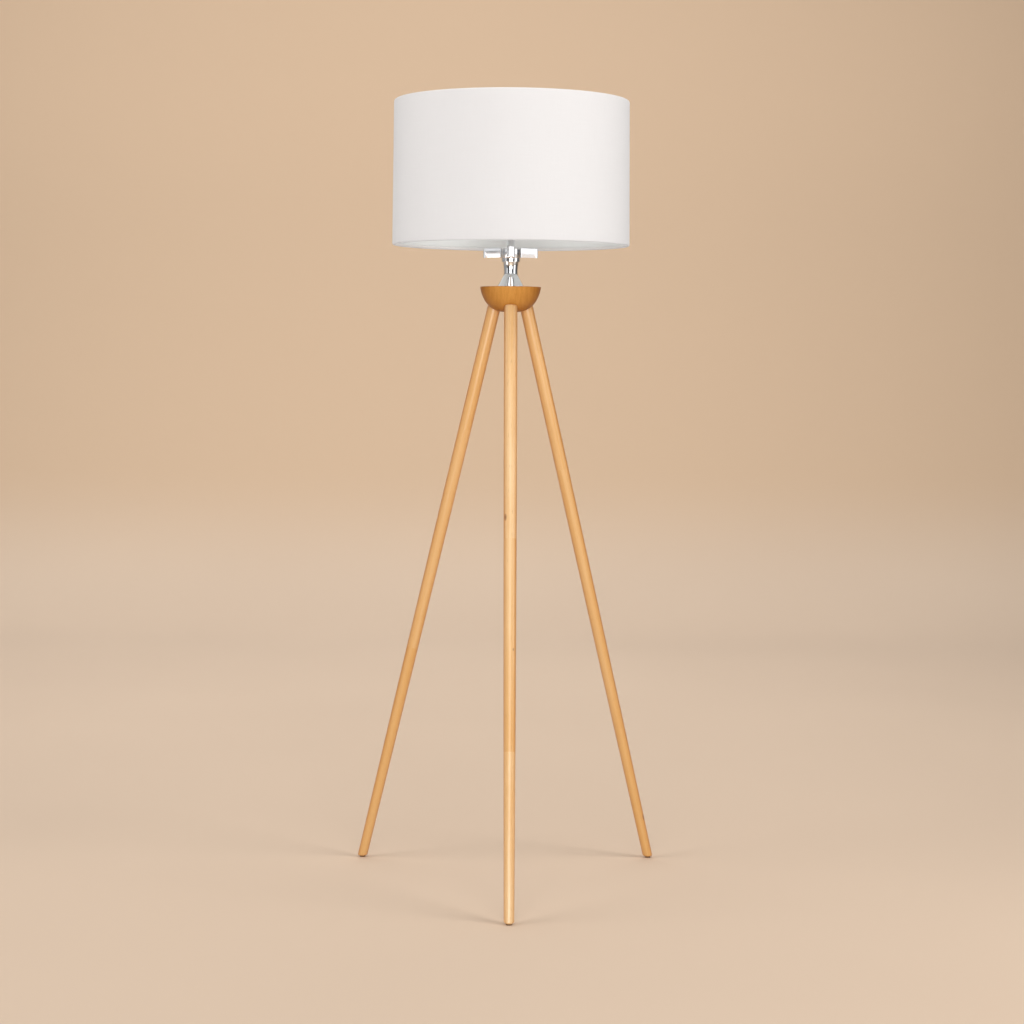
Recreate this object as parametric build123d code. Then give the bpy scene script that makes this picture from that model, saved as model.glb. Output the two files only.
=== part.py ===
from build123d import *
import math
import os

# Tripod floor lamp in millimetres: three turned legs screwed into a wooden bowl, a chrome neck
# and a three-arm collar above it, and a fabric drum shade carried by the lampholder.
# The floor is z = 0, the lamp's axis is Z, and one leg points towards -Y.

# Legs and feet
foot_circle_r = 333.5  # lamp's axis to the middle of each foot
leg_seat_r = 35.0  # lamp's axis to the middle of a leg's top end
leg_seat_drop = 35.8  # hub's top face down to the middle of a leg's top end
leg_top_d = 25.2
leg_foot_d = 19.0
leg_foot_round = 4.0
leg_top_round = 3.0
pad_d = 11.0
pad_h = 2.5
pad_bevel = 0.6

# Hanger bolts in the legs and threaded inserts in the hub
stud_wood_d = 7.0
stud_wood_l = 32.0
stud_metal_d = 8.0
stud_metal_l = 15.0
insert_d = 12.0
insert_l = 18.0

# Wooden bowl that the legs meet in
hub_top_z = 1143.5
hub_h = 47.6
hub_rim_r = 58.0
hub_rim_round = 1.2
hub_shoulder_r = 49.0
hub_shoulder_drop = 26.4
hub_flat_r = 11.7
hub_recess_r = 13.5
hub_recess_h = 12.0

# Threaded tube through the stack, with its washer, nuts and cord bush
rod_d = 10.0
rod_bore_d = 8.0
rod_tail = 3.0
washer_d = 24.0
washer_h = 2.0
nut_across_flats = 14.0
nut_h = 6.0
bush_collar_d = 14.0
bush_collar_h = 3.0
bush_spigot_h = 16.0
bush_bore_d = 6.5

# Chrome neck
neck_h = 47.4
neck_base_r = 25.6
neck_lip_h = 1.2
neck_waist_r = 13.3
neck_flare_h = 22.0
neck_flare_round = 20.0
neck_waist_h = 7.0
neck_top_r = 15.4
neck_wall = 1.8
neck_web_h = 4.0

# Three-arm collar
collar_h = 26.9
collar_boss_r = 18.3
boss_step = 0.2  # boss under the arms drawn in from the boss between them
boss_draft = 0.6  # and drawn in further towards its foot
arm_r = 57.5
arm_w = 13.0
arm_rise = 8.4
arm_under_round = 2.0
arm_root_round = 3.0
arm_tip_round = 2.5
arm_bevel_start_r = 20.0
arm_bevel_end_r = 51.5
arm_bevel_drop = 8.2
arm_bevel_in = 4.8
collar_edge_round = 0.7

# Short tube under the lampholder
stem_d = 16.0
stem_h = 17.5

# Lampholder
cap_h = 20.0
cap_collar_r = 9.0
cap_collar_h = 4.0
cap_floor_h = 5.0
cap_r = 19.5
cap_shoulder_h = 4.0
cap_cavity_r = 15.1
cap_spigot_h = 5.0
cap_spigot_wall = 2.0
skirt_h = 38.0
skirt_r = 19.8
skirt_mouth_r = 15.6
skirt_lip_h = 2.5
core_floor_h = 8.0
shell_bore_r = 13.45
shell_wall = 0.5
shell_h = 20.0
tongue_w = 6.0
tongue_t = 0.6
tongue_reach = 9.0
tongue_crown_h = 3.0
terminal_circle_r = 9.5
terminal_head_r = 2.9
terminal_head_h = 2.0
terminal_shank_r = 1.5
terminal_shank_h = 5.0

# Threaded rings that clamp the shade to the lampholder
clamp_ring_r = 28.5
clamp_ring_h = 8.0
clamp_ring_round = 0.8
clamp_flute_count = 20
clamp_flute_r = 2.4
clamp_flute_depth = 0.9

# Drum shade
shade_bottom_r = 225.0
shade_taper = 2.6  # how much the radius shrinks from the lower rim to the upper
shade_h = 271.0
fabric_t = 0.5
hem_r = 3.0
seam_w = 12.0
liner_t = 0.6
hoop_wire_d = 4.0
hoop_inset = 0.35
spoke_wire_d = 3.6
spoke_run = 38.0
spoke_bend_r = 20.0
spoke_lap = 4.0
spider_drop = 49.2  # shade's seat on the lampholder down to the shade's lower rim
spider_rise = 15.0  # skirt's foot up to the shade's seat
spider_washer_r = 33.5
spider_washer_h = 2.0

# Light bulb
bulb_l = 106.0
bulb_r = 30.0
bulb_neck_r = 13.6
bulb_wall = 1.0
bulb_cap_r = 13.1
bulb_cap_wall = 0.4
bulb_shell_l = 20.0
bulb_insulator_h = 5.0
bulb_insulator_r = 8.5
bulb_contact_r = 4.8
bulb_contact_h = 2.0
bulb_glass_lap = 3.0

# Fits
thread_gap = 0.05
socket_gap = 0.25
rod_gap = 0.3
slip_gap = 0.1
glue_gap = 0.05
swivel_gap = 0.5
notch_gap = 0.4
contact_gap = 0.3

# Levels that follow from the sizes
hub_bottom_z = hub_top_z - hub_h
leg_seat_z = hub_top_z - leg_seat_drop
recess_z = hub_bottom_z + hub_recess_h
nut_z = recess_z - washer_h - nut_h
rod_bottom_z = nut_z - rod_tail
collar_z = hub_top_z + neck_h
stem_z = collar_z + collar_h
cap_z = stem_z + stem_h
skirt_z = cap_z + cap_h
skirt_top_z = skirt_z + skirt_h
core_z = skirt_z + cap_spigot_h
core_floor_z = core_z + core_floor_h
rod_top_z = cap_z + cap_floor_h + nut_h
spider_z = skirt_z + spider_rise
shade_bottom_z = spider_z - spider_drop
shade_top_z = shade_bottom_z + shade_h
shade_top_r = shade_bottom_r - shade_taper
bulb_z = core_floor_z + tongue_crown_h + contact_gap
bulb_cap_z = bulb_z + bulb_contact_h + bulb_insulator_h
bulb_cap_top_z = bulb_cap_z + bulb_shell_l
bulb_top_z = bulb_z + bulb_l

# Directions round the axis, in degrees from +X: the spokes and the seam stand opposite the legs
front_azimuth = -90.0
leg_places = ["front", "right", "left"]
leg_step = 360 / len(leg_places)
leg_azimuth = {place: front_azimuth + index * leg_step for index, place in enumerate(leg_places)}
spoke_azimuths = [azimuth + 180 for azimuth in leg_azimuth.values()]
seam_azimuth = front_azimuth + 180

UP = (Align.CENTER, Align.CENTER, Align.MIN)
rod_hole_r = rod_d / 2 + rod_gap


def turned(*outline):
    """Solid turned about the lamp's axis from a closed outline of (radius, height) curves."""
    return revolve(Plane.XZ * make_face(outline), axis=Axis.Z)


def sleeve(r_in, r_out, z_low, z_high):
    """Plain ring or tube about the lamp's axis; a bore of 0 gives a disc."""
    corners = [(r_in, z_low), (r_out, z_low), (r_out, z_high), (r_in, z_high)]
    return turned(Polyline(*corners, close=True))


def round_the_axis(shape, azimuths):
    """Copies of a shape drawn along +X, turned to each azimuth, as one group."""
    copies = [Rot(0, 0, azimuth) * shape for azimuth in azimuths]
    return copies[0].fuse(*copies[1:])


# Legs: turned dowels that lean in from the feet to sockets under the hub
seat = Vector(leg_seat_r, 0, leg_seat_z)
foot = Vector(foot_circle_r, 0, pad_h)
leg_l = (seat - foot).length
leg_axis = (seat - foot).normalized()
leg_up = Plane(origin=seat, z_dir=leg_axis)
leg_down = Plane(origin=seat, z_dir=-leg_axis)


def make_leg():
    """Dowel whose taper quickens towards the level foot, with a pilot hole for its bolt."""
    top = (leg_top_d / 2, 0)
    side = Bezier(top, (leg_top_d / 2, leg_l / 2), (leg_foot_d / 2, leg_l))
    overrun = Line(side @ 1, side @ 1 + side % 1 * leg_foot_d)
    end = overrun @ 1
    blank = turned(side, overrun, Polyline(end, (0, end.Y), (0, 0), top))
    blank = fillet(blank.edges().sort_by(Axis.Z)[0], leg_top_round)
    leg = split(leg_down * blank, bisect_by=Plane.XY.offset(pad_h), keep=Keep.TOP)
    leg = fillet(leg.faces().sort_by(Axis.Z)[0].edges(), leg_foot_round)
    return leg - leg_down * Cylinder(stud_wood_d / 2 + thread_gap, stud_wood_l, align=UP)


def make_foot_pad():
    """Round glide under the level end of a leg, bevelled where it meets the floor."""
    pad = Pos(foot_circle_r, 0, 0) * Cylinder(pad_d / 2, pad_h, align=UP)
    return chamfer(pad.edges().sort_by(Axis.Z)[0], pad_bevel)


def make_leg_stud():
    """Hanger bolt: wood screw down into the leg, machine screw up into the hub."""
    wood_end = leg_down * Cylinder(stud_wood_d / 2, stud_wood_l, align=UP)
    metal_end = leg_up * Cylinder(stud_metal_d / 2, stud_metal_l, align=UP)
    return wood_end + metal_end


def make_hub_insert():
    """Threaded sleeve sunk into the floor of a leg socket."""
    body = Cylinder(insert_d / 2, insert_l, align=UP)
    bore = Cylinder(stud_metal_d / 2 + thread_gap, insert_l, align=UP)
    return leg_up * (body - bore)


# Hub: solid turned bowl with three leaning sockets and a recess for the nut
def make_hub():
    """Bowl whose belly springs level from the flat and runs on tangent into the steeper side."""
    flat = (hub_flat_r, hub_bottom_z)
    shoulder = (hub_shoulder_r, hub_top_z - hub_shoulder_drop)
    rim = (hub_rim_r, hub_top_z)
    belly = TangentArc(flat, shoulder, tangent=(1, 0))
    side = TangentArc(shoulder, rim, tangent=belly % 1)
    hub = turned(Polyline(rim, (0, hub_top_z), (0, hub_bottom_z), flat), belly, side)
    hub = fillet(hub.edges().group_by(Axis.Z)[-1], hub_rim_round)
    hub -= sleeve(0, rod_hole_r, hub_bottom_z, hub_top_z)
    hub -= sleeve(0, hub_recess_r, hub_bottom_z, recess_z)
    socket = leg_down * Cylinder(leg_top_d / 2 + socket_gap, hub_h, align=UP)
    insert_hole = leg_up * Cylinder(insert_d / 2 + thread_gap, insert_l + slip_gap, align=UP)
    for azimuth in leg_azimuth.values():
        hub -= Rot(0, 0, azimuth) * socket
        hub -= Rot(0, 0, azimuth) * insert_hole
    return hub


# Threaded tube, washer, nuts and bush
def make_nut(z_low):
    """Hexagon nut on the threaded tube."""
    blank = extrude(RegularPolygon(nut_across_flats / 2, 6, major_radius=False), nut_h)
    return Pos(0, 0, z_low) * blank - sleeve(0, rod_d / 2 + thread_gap, z_low, z_low + nut_h)


def make_cord_bush():
    """Smooth plastic bush that lines the lower mouth of the threaded tube."""
    collar = sleeve(bush_bore_d / 2, bush_collar_d / 2, rod_bottom_z - bush_collar_h, rod_bottom_z)
    collar = fillet(collar.edges().group_by(Axis.Z)[0], bush_collar_h / 4)
    spigot_r = rod_bore_d / 2 - glue_gap
    return collar + sleeve(bush_bore_d / 2, spigot_r, rod_bottom_z, rod_bottom_z + bush_spigot_h)


# Chrome neck: thin trumpet that stands on the hub and closes with a web under the collar
def neck_outline(inset, z_low, z_high):
    """Closed outline of the trumpet, drawn in by an inset from the outer skin."""
    waist_r = neck_waist_r - inset
    base = (neck_base_r - inset, z_low)
    lip = (neck_base_r - inset, hub_top_z + neck_lip_h)
    waist_low = (waist_r, hub_top_z + neck_flare_h)
    waist_high = (waist_r, hub_top_z + neck_flare_h + neck_waist_h)
    lower = FilletPolyline(lip, waist_low, waist_high, radius=neck_flare_round)
    top = (neck_top_r - inset, collar_z)
    flare = TangentArc(waist_high, top, tangent=(0, 1))
    closing = Polyline(top, (0, collar_z), (0, z_low), base)
    return Plane.XZ * make_face([Line(base, lip), lower, flare, closing])


def make_neck():
    """Hollow trumpet with an even wall and a web that the threaded tube passes through."""
    skin = revolve(neck_outline(0, hub_top_z, collar_z), axis=Axis.Z)
    hollow = revolve(neck_outline(neck_wall, hub_top_z, collar_z), axis=Axis.Z)
    hollow &= sleeve(0, neck_base_r, hub_top_z, collar_z - neck_web_h)
    return skin - hollow - sleeve(0, rod_hole_r, hub_top_z, collar_z)


# Three-arm collar: a casting with one arm over each leg
def make_collar():
    """Star plan with its arms raised above the boss's foot and their lower flanks bevelled.

    The bevels stop short of the tips, which keep their full width down to the underside.
    """
    plan = Circle(collar_boss_r)
    for azimuth in leg_azimuth.values():
        plan += Rot(0, 0, azimuth) * Pos(arm_r / 2, 0) * Rectangle(arm_r, arm_w)
    reach = (arm_r + collar_boss_r) / 2
    tips = [corner for corner in plan.vertices() if Vector(*corner).length > reach]
    plan = fillet(tips, arm_tip_round)
    roots = [corner for corner in plan.vertices() if Vector(*corner).length < reach]
    plan = fillet(roots, arm_root_round)
    arm_z = collar_z + arm_rise
    boss_root = (collar_boss_r - boss_step, arm_z)
    boss_foot = (collar_boss_r - boss_step - boss_draft, collar_z)
    clear_r = arm_r + arm_w
    under = FilletPolyline(boss_foot, boss_root, (clear_r, arm_z), radius=arm_under_round)
    over = Polyline((clear_r, arm_z), (clear_r, stem_z), (0, stem_z), (0, collar_z), boss_foot)
    envelope = turned(under, over)
    collar = Pos(0, 0, collar_z) * extrude(plan, collar_h)
    collar = fillet(collar.faces().sort_by(Axis.Z)[-1].edges(), collar_edge_round) & envelope
    bevel_top_z = stem_z - arm_bevel_drop
    wedge = [
        (arm_w / 2, bevel_top_z),
        (arm_w, bevel_top_z),
        (arm_w, collar_z),
        (arm_w / 2 - arm_bevel_in, collar_z),
    ]
    flank = Plane.YZ.offset(arm_bevel_start_r) * make_face(Polyline(*wedge, close=True))
    bevel = extrude(flank, arm_bevel_end_r - arm_bevel_start_r)
    for azimuth in leg_azimuth.values():
        collar -= Rot(0, 0, azimuth) * bevel
        collar -= Rot(0, 0, azimuth) * mirror(bevel, about=Plane.XZ)
    return collar - sleeve(0, rod_hole_r, collar_z, stem_z)


# Lampholder: cap on the threaded tube, threaded skirt, insulating core and contacts
def make_lampholder_cap():
    """Domed cap with a collar below and a spigot above that carries the core."""
    collar_top = (cap_collar_r, cap_z + cap_collar_h)
    shoulder = (cap_r, skirt_z - cap_shoulder_h)
    dome = TangentArc(shoulder, collar_top, tangent=(0, -1))
    spigot_r = cap_cavity_r + cap_spigot_wall
    rim = Polyline(shoulder, (cap_r, skirt_z), (spigot_r, skirt_z), (spigot_r, core_z), (0, core_z))
    cap = turned(dome, rim, Polyline((0, core_z), (0, cap_z), (cap_collar_r, cap_z), collar_top))
    floor_z = cap_z + cap_floor_h
    cone_top = (cap_cavity_r, skirt_z - cap_shoulder_h)
    cavity = [(0, floor_z), (cap_collar_r, floor_z), cone_top, (cap_cavity_r, core_z), (0, core_z)]
    cap -= turned(Polyline(*cavity, close=True))
    return cap - sleeve(0, rod_d / 2 + thread_gap, cap_z, core_z)


def make_lampholder_skirt():
    """Threaded skirt that screws over the cap's spigot, with an inward lip at its mouth."""
    bore_r = cap_cavity_r + cap_spigot_wall + slip_gap
    skirt = sleeve(bore_r, skirt_r, skirt_z, skirt_top_z)
    return skirt + sleeve(skirt_mouth_r, skirt_r, skirt_top_z - skirt_lip_h, skirt_top_z)


def make_lampholder_core():
    """Insulating cup that holds the screw shell, drilled for the terminal screws."""
    core_r = cap_cavity_r + cap_spigot_wall
    core = sleeve(0, core_r, core_z, skirt_top_z - skirt_lip_h)
    shell_r = shell_bore_r + shell_wall + glue_gap
    core -= sleeve(0, shell_r, core_floor_z, skirt_top_z)
    hole = Cylinder(terminal_shank_r + thread_gap, terminal_shank_h + slip_gap, align=UP)
    return core - round_the_axis(Pos(terminal_circle_r, 0, core_z) * hole, [0, 180])


def make_terminal_screw():
    """Slotted terminal screw under the core."""
    shank = Pos(terminal_circle_r, 0, core_z) * Cylinder(terminal_shank_r, terminal_shank_h, align=UP)
    head_z = core_z - terminal_head_h
    head = Pos(terminal_circle_r, 0, head_z) * Cylinder(terminal_head_r, terminal_head_h, align=UP)
    return shank + head


def make_centre_contact():
    """Sprung tongue that rises from the core's floor to a crown under the bulb."""
    foot_end = (-tongue_reach, core_floor_z)
    crown = (0, core_floor_z + tongue_crown_h)
    spring = [
        foot_end,
        (-tongue_reach / 2, core_floor_z),
        (-tongue_reach / 4, crown[1] - tongue_t),
        (tongue_reach / 4, crown[1] - tongue_t),
        (tongue_reach / 4, crown[1]),
        (-tongue_reach / 4 - tongue_t, crown[1]),
        (-tongue_reach / 2 - tongue_t, core_floor_z + tongue_t),
        (-tongue_reach, core_floor_z + tongue_t),
    ]
    side = Plane.XZ * make_face(Polyline(*spring, close=True))
    return extrude(side, tongue_w / 2, both=True)


def make_clamp_ring(z_low):
    """Threaded ring with finger flutes round its edge."""
    ring = sleeve(skirt_r + thread_gap, clamp_ring_r, z_low, z_low + clamp_ring_h)
    middle_r = (skirt_r + clamp_ring_r) / 2
    rims = [edge for edge in ring.edges().filter_by(GeomType.CIRCLE) if edge.radius > middle_r]
    ring = fillet(rims, clamp_ring_round)
    flute_x = clamp_ring_r + clamp_flute_r - clamp_flute_depth
    flute = Pos(flute_x, 0, z_low) * Cylinder(clamp_flute_r, clamp_ring_h, align=UP)
    steps = [360 * index / clamp_flute_count for index in range(clamp_flute_count)]
    return ring - [Rot(0, 0, step) * flute for step in steps]


# Drum shade: fabric on a stiff liner, rolled over a wire hoop at each rim
low_hem = (shade_bottom_r - hem_r, shade_bottom_z + hem_r)  # middle of the lower roll
high_hem = (shade_top_r - hem_r, shade_top_z - hem_r)  # middle of the upper roll


def make_hoop(hem):
    """Wire hoop that stiffens a rim of the shade, resting inside its rolled hem."""
    return Pos(0, 0, hem[1]) * Rot(0, 0, seam_azimuth) * Torus(hem[0] - hoop_inset, hoop_wire_d / 2)


def make_washer():
    """Flat ring that the threaded rings clamp to the lampholder."""
    return sleeve(skirt_r + swivel_gap, spider_washer_r, spider_z, spider_z + spider_washer_h)


def make_spoke(wire_r):
    """Wire from the lower hoop, up and in, then level to the washer on the lampholder."""
    hoop_r = low_hem[0] - hoop_inset
    level_z = spider_z + spider_washer_h / 2
    route = [(hoop_r, 0, low_hem[1]), (hoop_r - spoke_run, 0, level_z)]
    route.append((spider_washer_r - spoke_lap, 0, level_z))
    path = FilletPolyline(*route, radius=spoke_bend_r)
    return sweep(Plane(origin=path @ 0, z_dir=path % 0) * Circle(wire_r), path=path)


def make_spokes():
    """Spokes coped to the lower hoop and slotted over the washer's rim, where they are welded."""
    spoke = make_spoke(spoke_wire_d / 2) - make_hoop(low_hem) - make_washer()
    return round_the_axis(spoke, spoke_azimuths)


def make_liner():
    """Stiff liner behind the fabric, from hem to hem."""
    outer = fabric_t + glue_gap
    inner = outer + liner_t
    order = [(low_hem, inner), (low_hem, outer), (high_hem, outer), (high_hem, inner)]
    corners = [(hem[0] + hem_r - depth, hem[1]) for hem, depth in order]
    return turned(Polyline(*corners, close=True))


def make_fabric():
    """Fabric wall whose hems roll round the hoops, with a lapped seam and notches at the spokes."""
    inner_r = hem_r - fabric_t
    outline = []
    for radius in (hem_r, inner_r):
        outline.append(CenterArc(low_hem, radius, 0, -270))
        outline.append(CenterArc(high_hem, radius, 0, 270))
        outline.append(Line((low_hem[0] + radius, low_hem[1]), (high_hem[0] + radius, high_hem[1])))
    outline.append(Line((low_hem[0], low_hem[1] + inner_r), (low_hem[0], low_hem[1] + hem_r)))
    outline.append(Line((high_hem[0], high_hem[1] - inner_r), (high_hem[0], high_hem[1] - hem_r)))
    fabric = Rot(0, 0, seam_azimuth) * turned(*outline)
    lap_r = hem_r + fabric_t
    order = [(low_hem, inner_r), (low_hem, lap_r), (high_hem, lap_r), (high_hem, inner_r)]
    lap = [(hem[0] + reach, hem[1]) for hem, reach in order]
    seam_angle = math.degrees(seam_w / shade_bottom_r)
    seam = revolve(Plane.XZ * make_face(Polyline(*lap, close=True)), Axis.Z, seam_angle)
    fabric += Rot(0, 0, seam_azimuth - seam_angle / 2) * seam
    notch = make_spoke(spoke_wire_d / 2 + notch_gap)
    return fabric - [Rot(0, 0, azimuth) * notch for azimuth in spoke_azimuths]


# Light bulb: opal globe in a screw cap
def make_bulb_glass():
    """Globe whose straight flank leaves the neck and meets the sphere at a tangent."""
    def globe(shrink):
        radius = bulb_r - shrink
        neck_r = bulb_neck_r - shrink
        centre_z = bulb_top_z - bulb_r
        throat = (neck_r, bulb_cap_top_z)
        spread = math.hypot(neck_r, centre_z - bulb_cap_top_z)
        angle = math.acos(radius / spread) - math.atan2(centre_z - bulb_cap_top_z, neck_r)
        touch = (radius * math.cos(angle), centre_z + radius * math.sin(angle))
        dome = CenterArc((0, centre_z), radius, math.degrees(angle), 90 - math.degrees(angle))
        root_r = bulb_cap_r - bulb_cap_wall - glue_gap - shrink
        root = Polyline((0, bulb_cap_top_z - bulb_glass_lap), (root_r, bulb_cap_top_z - bulb_glass_lap),
                        (root_r, bulb_cap_top_z), throat)
        return turned(root, Line(throat, touch), dome,
                      Line((0, centre_z + radius), (0, bulb_cap_top_z - bulb_glass_lap)))
    return globe(0) - globe(bulb_wall)


def make_bulb_cap():
    """Screw shell of the bulb, open above, with a narrow shoulder at its foot."""
    shell = sleeve(0, bulb_cap_r, bulb_cap_z, bulb_cap_top_z)
    hollow_r = bulb_cap_r - bulb_cap_wall
    shell -= sleeve(0, hollow_r, bulb_cap_z + bulb_cap_wall, bulb_cap_top_z)
    return shell - sleeve(0, bulb_insulator_r - bulb_cap_wall, bulb_cap_z, bulb_cap_top_z)


def make_bulb_insulator():
    """Tapered insulating plug between the screw shell and the contact."""
    low_z = bulb_z + bulb_contact_h
    corners = [(0, low_z), (bulb_contact_r, low_z), (bulb_insulator_r, bulb_cap_z), (0, bulb_cap_z)]
    return turned(Polyline(*corners, close=True))


pieces = {
    "hub": make_hub(),
    "hub_inserts": round_the_axis(make_hub_insert(), leg_azimuth.values()),
    "leg_studs": round_the_axis(make_leg_stud(), leg_azimuth.values()),
    "threaded_rod": sleeve(rod_bore_d / 2, rod_d / 2, rod_bottom_z, rod_top_z),
    "rod_washer": sleeve(rod_hole_r, washer_d / 2, recess_z - washer_h, recess_z),
    "rod_nut": make_nut(nut_z),
    "cord_bush": make_cord_bush(),
    "neck": make_neck(),
    "star_collar": make_collar(),
    "stem_tube": sleeve(rod_hole_r, stem_d / 2, stem_z, cap_z),
    "lampholder_cap": make_lampholder_cap(),
    "lampholder_nut": make_nut(cap_z + cap_floor_h),
    "lampholder_skirt": make_lampholder_skirt(),
    "lampholder_core": make_lampholder_core(),
    "screw_shell": sleeve(shell_bore_r, shell_bore_r + shell_wall, core_floor_z, core_floor_z + shell_h),
    "centre_contact": make_centre_contact(),
    "terminal_screws": round_the_axis(make_terminal_screw(), [0, 180]),
    "shade_ring_lower": make_clamp_ring(spider_z - slip_gap - clamp_ring_h),
    "shade_ring_upper": make_clamp_ring(spider_z + spider_washer_h + slip_gap),
    "shade_washer": make_washer(),
    "shade_spokes": make_spokes(),
    "shade_bottom_hoop": make_hoop(low_hem),
    "shade_top_hoop": make_hoop(high_hem),
    "shade_liner": make_liner(),
    "shade_fabric": make_fabric(),
    "bulb_glass": make_bulb_glass(),
    "bulb_cap": make_bulb_cap(),
    "bulb_insulator": make_bulb_insulator(),
    "bulb_contact": sleeve(0, bulb_contact_r, bulb_z, bulb_z + bulb_contact_h),
}
for place, azimuth in leg_azimuth.items():
    pieces["leg_" + place] = Rot(0, 0, azimuth) * make_leg()
    pieces["foot_pad_" + place] = Rot(0, 0, azimuth) * make_foot_pad()

os.makedirs("parts", exist_ok=True)
for name, piece in pieces.items():
    export_step(piece, f"parts/{name}.step")
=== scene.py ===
import math

import bmesh
import bpy
import numpy as np
from mathutils import Matrix, Vector


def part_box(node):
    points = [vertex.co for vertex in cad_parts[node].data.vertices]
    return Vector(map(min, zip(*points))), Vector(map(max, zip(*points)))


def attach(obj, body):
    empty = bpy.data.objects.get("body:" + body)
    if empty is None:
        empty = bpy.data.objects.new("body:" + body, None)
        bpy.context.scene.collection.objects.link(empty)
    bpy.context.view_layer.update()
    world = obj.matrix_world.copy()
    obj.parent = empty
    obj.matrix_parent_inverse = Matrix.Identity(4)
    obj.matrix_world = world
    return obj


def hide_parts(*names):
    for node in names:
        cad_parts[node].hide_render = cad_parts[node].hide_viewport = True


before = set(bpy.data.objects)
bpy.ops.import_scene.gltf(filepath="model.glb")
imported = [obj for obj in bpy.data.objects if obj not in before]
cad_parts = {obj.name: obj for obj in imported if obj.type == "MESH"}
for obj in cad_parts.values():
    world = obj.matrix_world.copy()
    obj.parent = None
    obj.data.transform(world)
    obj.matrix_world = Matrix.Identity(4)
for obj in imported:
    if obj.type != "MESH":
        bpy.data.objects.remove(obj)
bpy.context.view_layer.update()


# Legs
# Three turned dowels of pale hardwood under a satin lacquer, glued up from shorter lengths.
# Their taper quickens towards the rounded, level-cut feet, and each is screwed into the bowl.
LEG_AZIMUTH = {"front": -90.0, "right": 30.0, "left": 150.0}
FOOT_CIRCLE = 0.3335
LEG_SEAT_RADIUS = 0.0350
LEG_SEAT_DROP = 0.0358
LEG_TOP_RADIUS = 0.0126
LEG_FOOT_RADIUS = 0.0095
LEG_FOOT_ROUND = 0.0040
LEG_TOP_ROUND = 0.0030
LEG_LEVEL_END = 0.012
LEG_LEVEL_FADE = 0.09
PAD_TOP = float(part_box("foot_pad_front")[1][2])
HUB_HIGH = np.array(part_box("hub")[1])
LEG_PALE = (0.90, 0.595, 0.300)
LEG_DEEP = (0.745, 0.365, 0.082)
LEG_PORE = (0.33, 0.13, 0.03)
# Tint that the legs' colour is multiplied towards at their outline: painted shade.
LEG_EDGE_SHADE = (0.70, 0.37, 0.05)
WELD_DISTANCE = 2e-6


def rounded(corners, radii, steps=7):
    """Outline through corner points, each corner replaced by an arc of its radius.

    An arc's centre lies on the corner's bisector, radius / sin(half the corner's angle) away,
    and the arc touches both sides radius / tan(half the corner's angle) from the corner.
    """
    corners = np.asarray(corners, float)
    runs = [corners[:1]]
    for before, corner, after, radius in zip(corners, corners[1:], corners[2:], radii):
        back = (before - corner) / np.linalg.norm(before - corner)
        ahead = (after - corner) / np.linalg.norm(after - corner)
        half = 0.5 * math.acos(float(np.clip(back @ ahead, -1.0, 1.0)))
        if radius <= 0.0 or half > 1.57:
            runs.append(corner[None])
            continue
        bisector = (back + ahead) / np.linalg.norm(back + ahead)
        centre = corner + bisector * radius / math.sin(half)
        start = corner + back * radius / math.tan(half) - centre
        turn = math.pi - 2.0 * half
        sign = np.sign(back[0] * ahead[1] - back[1] * ahead[0])
        sweep = -sign * turn * np.linspace(0.0, 1.0, steps)
        arc = np.stack([start[0] * np.cos(sweep) - start[1] * np.sin(sweep),
                        start[0] * np.sin(sweep) + start[1] * np.cos(sweep)], axis=1)
        runs.append(centre + arc)
    runs.append(corners[-1:])
    return np.concatenate(runs)


def finer(outline, longest):
    """Outline with extra points, so that no step along it is longer than the given length."""
    step = np.linalg.norm(np.diff(outline, axis=0), axis=1)
    travel = np.concatenate([[0.0], np.cumsum(step)])
    count = np.maximum(1, np.ceil(step / longest)).astype(int)
    spots = [np.linspace(a, b, n, endpoint=False) for a, b, n in zip(travel, travel[1:], count)]
    spots = np.concatenate(spots + [travel[-1:]])
    return np.stack([np.interp(spots, travel, outline[:, axis]) for axis in (0, 1)], axis=1)


def surface(name, points, uv=None, loop=True, ring=False, crease=0.7):
    """Mesh over a grid of points, rows by columns, closed across columns (loop) or rows (ring).

    Each grid cell is one quad; rows that shrink to a point are welded into a pole.
    """
    rows, columns = points.shape[:2]
    row = np.arange(rows if ring else rows - 1)[:, None]
    column = np.arange(columns if loop else columns - 1)[None]
    next_row = (row + 1) % rows
    next_column = (column + 1) % columns
    quads = np.stack([row * columns + column, row * columns + next_column,
                      next_row * columns + next_column, next_row * columns + column], axis=-1)
    mesh = bpy.data.meshes.new(name)
    mesh.from_pydata(points.reshape(-1, 3), [], quads.reshape(-1, 4))
    if uv is not None:
        steps = np.stack([np.stack([row + 0 * column, column + 0 * row], -1),
                          np.stack([row + 0 * column, column + 1 + 0 * row], -1),
                          np.stack([row + 1 + 0 * column, column + 1 + 0 * row], -1),
                          np.stack([row + 1 + 0 * column, column + 0 * row], -1)], axis=-2)
        steps = steps.reshape(-1, 2)
        layer = mesh.uv_layers.new(name="UVMap")
        layer.data.foreach_set("uv", uv[steps[:, 0], steps[:, 1]].astype(np.float32).ravel())
    mesh.polygons.foreach_set("use_smooth", np.ones(len(mesh.polygons), bool))
    piece = bpy.data.objects.new(name, mesh)
    bpy.context.scene.collection.objects.link(piece)
    weld(mesh, crease)
    return piece


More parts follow.
